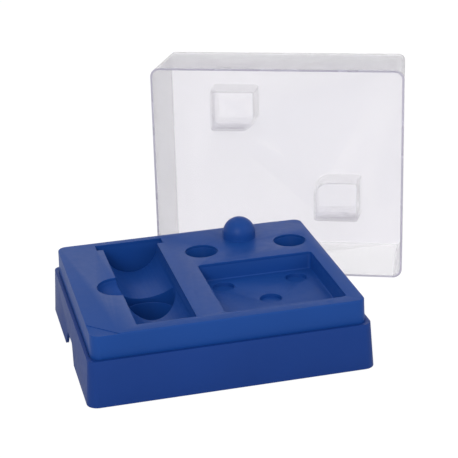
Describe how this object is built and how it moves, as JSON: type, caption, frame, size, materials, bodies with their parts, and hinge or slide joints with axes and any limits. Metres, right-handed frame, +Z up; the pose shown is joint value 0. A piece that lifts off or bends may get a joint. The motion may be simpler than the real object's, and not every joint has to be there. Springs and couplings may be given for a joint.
{
  "type": "bench workstation tray",
  "caption": "Low bench tray with a bottle trough, tube wells, a dome and a square recess, and its deep clear loose cover standing beside it.",
  "frame": {"origin": "centre of the lower body's bottom edge plane, on the underside strap, 0.8 mm above the bench that the feet rest on", "axes": "+X to the right, +Y to the back, +Z up, with the bottle trough on the left"},
  "size_m": [0.3764, 0.36, 0.2109],
  "materials": {
    "blue_body": "satin moulded",
    "blue_deck": "satin moulded",
    "clear_cover": "clear glossy moulded",
    "foot_rubber": "matte",
    "screw_steel": "zinc plated"
  },
  "bodies": {
    "base": {"lower_body": "blue_body", "deck": "blue_deck", "trough": "blue_deck", "recess_pan": "blue_deck", "pit_cup": "blue_deck", "well_cup_left": "blue_deck", "well_cup_right": "blue_deck", "foot_front_left": "foot_rubber", "foot_front_right": "foot_rubber", "foot_rear_left": "foot_rubber", "foot_rear_right": "foot_rubber", "screws": "screw_steel"},
    "lid": {"lid": "clear_cover"}
  },
  "joints": [
    {"name": "lid_tip", "type": "hinge", "parent": "base", "child": "lid", "pos_m": [0.13668, 0.19823, -0.0008], "axis": [-0.9205, 0.3907, 0], "range_deg": [0, 87.92]}
  ]
}
